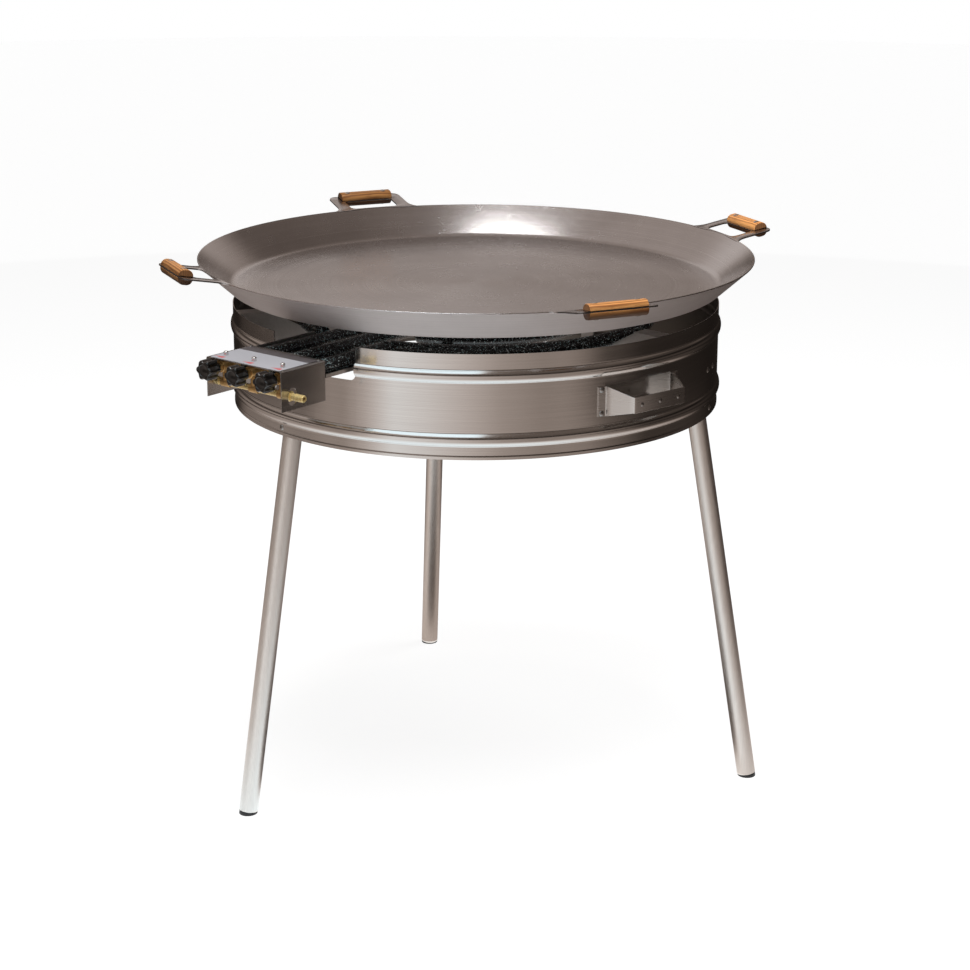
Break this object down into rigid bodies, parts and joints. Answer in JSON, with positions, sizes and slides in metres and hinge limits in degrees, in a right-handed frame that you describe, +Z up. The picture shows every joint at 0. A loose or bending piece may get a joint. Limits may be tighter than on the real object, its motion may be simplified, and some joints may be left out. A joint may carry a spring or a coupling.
{
  "type": "paella burner",
  "caption": "Round gas burner stand on splayed tube legs, with a sheet drum, ring burner, knob-operated taps and a wide shallow pan with wooden grips.",
  "frame": {"origin": "on the drum axis at the floor plane that the feet stand on", "axes": "+Z up along the drum axis, -Y towards the control panel, +X towards the hose nozzle"},
  "size_m": [1.0336, 1.1168, 0.9278],
  "materials": {
    "stainless": "satin brushed",
    "pan_steel": "spun satin",
    "fastener": "bright",
    "foot_plastic": "matt",
    "enamel": "glossy speckled enamel",
    "brass": "turned",
    "knob_plastic": "gloss",
    "grip_wood": "oiled"
  },
  "bodies": {
    "stand": {"drum_shell": "stainless", "support_bracket_1": "stainless", "support_bracket_2": "stainless", "support_bracket_3": "stainless", "leg_socket_1": "stainless", "leg_socket_2": "stainless", "leg_socket_3": "stainless", "carry_handle_1": "stainless", "carry_handle_2": "stainless", "carry_bars": "stainless", "tube_tray": "stainless", "tray_saddle": "stainless", "cover_strap": "stainless", "control_cover": "stainless", "burner_spider": "stainless", "leg_socket_screws": "fastener", "leg_lock_screws": "fastener", "carry_handle_screws": "fastener", "carry_handle_rivets": "fastener", "cover_screws": "fastener", "dome_screws": "fastener", "burner_ring_outer": "enamel", "burner_ring_middle": "enamel", "burner_ring_inner": "enamel", "manifold": "brass", "manifold_end_plug": "brass", "hose_nozzle": "brass", "injectors": "brass", "tap_body_1": "brass", "tap_body_2": "brass", "tap_body_3": "brass"},
    "pan": {"pan": "pan_steel", "grip_upper_1": "grip_wood", "grip_upper_2": "grip_wood", "grip_upper_3": "grip_wood", "grip_upper_4": "grip_wood", "grip_lower_1": "grip_wood", "grip_lower_2": "grip_wood", "grip_lower_3": "grip_wood", "grip_lower_4": "grip_wood", "grip_rivets": "fastener"},
    "leg_1": {"leg_1": "stainless", "leg_foot_1": "foot_plastic"},
    "leg_2": {"leg_2": "stainless", "leg_foot_2": "foot_plastic"},
    "leg_3": {"leg_3": "stainless", "leg_foot_3": "foot_plastic"},
    "tap_turn_1": {"tap_plug_1": "brass"},
    "tap_push_1": {"tap_spindle_1": "fastener", "knob_1": "knob_plastic"},
    "tap_turn_2": {"tap_plug_2": "brass"},
    "tap_push_2": {"tap_spindle_2": "fastener", "knob_2": "knob_plastic"},
    "tap_turn_3": {"tap_plug_3": "brass"},
    "tap_push_3": {"tap_spindle_3": "fastener", "knob_3": "knob_plastic"}
  },
  "joints": [
    {"name": "pan_lift", "type": "slide", "parent": "stand", "child": "pan", "axis": [0, 0, 1], "range_m": [0, 0.25]},
    {"name": "leg_pull_1", "type": "slide", "parent": "stand", "child": "leg_1", "axis": [0.1574, 0.0573, -0.9859], "range_m": [0, 0.1]},
    {"name": "leg_pull_2", "type": "slide", "parent": "stand", "child": "leg_2", "axis": [-0.1283, 0.1076, -0.9859], "range_m": [0, 0.1]},
    {"name": "leg_pull_3", "type": "slide", "parent": "stand", "child": "leg_3", "axis": [-0.0291, -0.1649, -0.9859], "range_m": [0, 0.1]},
    {"name": "tap_turn_1", "type": "hinge", "parent": "stand", "child": "tap_turn_1", "pos_m": [-0.062, -0.56, 0.798], "axis": [0, -1, 0], "range_deg": [0, 180]},
    {"name": "tap_push_1", "type": "slide", "parent": "tap_turn_1", "child": "tap_push_1", "axis": [0, 1, 0], "range_m": [0, 0.003], "stiffness_N_per_m": 600, "springref_m": -0.003},
    {"name": "tap_turn_2", "type": "hinge", "parent": "stand", "child": "tap_turn_2", "pos_m": [0, -0.56, 0.798], "axis": [0, -1, 0], "range_deg": [0, 180]},
    {"name": "tap_push_2", "type": "slide", "parent": "tap_turn_2", "child": "tap_push_2", "axis": [0, 1, 0], "range_m": [0, 0.003], "stiffness_N_per_m": 600, "springref_m": -0.003},
    {"name": "tap_turn_3", "type": "hinge", "parent": "stand", "child": "tap_turn_3", "pos_m": [0.062, -0.56, 0.798], "axis": [0, -1, 0], "range_deg": [0, 180]},
    {"name": "tap_push_3", "type": "slide", "parent": "tap_turn_3", "child": "tap_push_3", "axis": [0, 1, 0], "range_m": [0, 0.003], "stiffness_N_per_m": 600, "springref_m": -0.003}
  ]
}
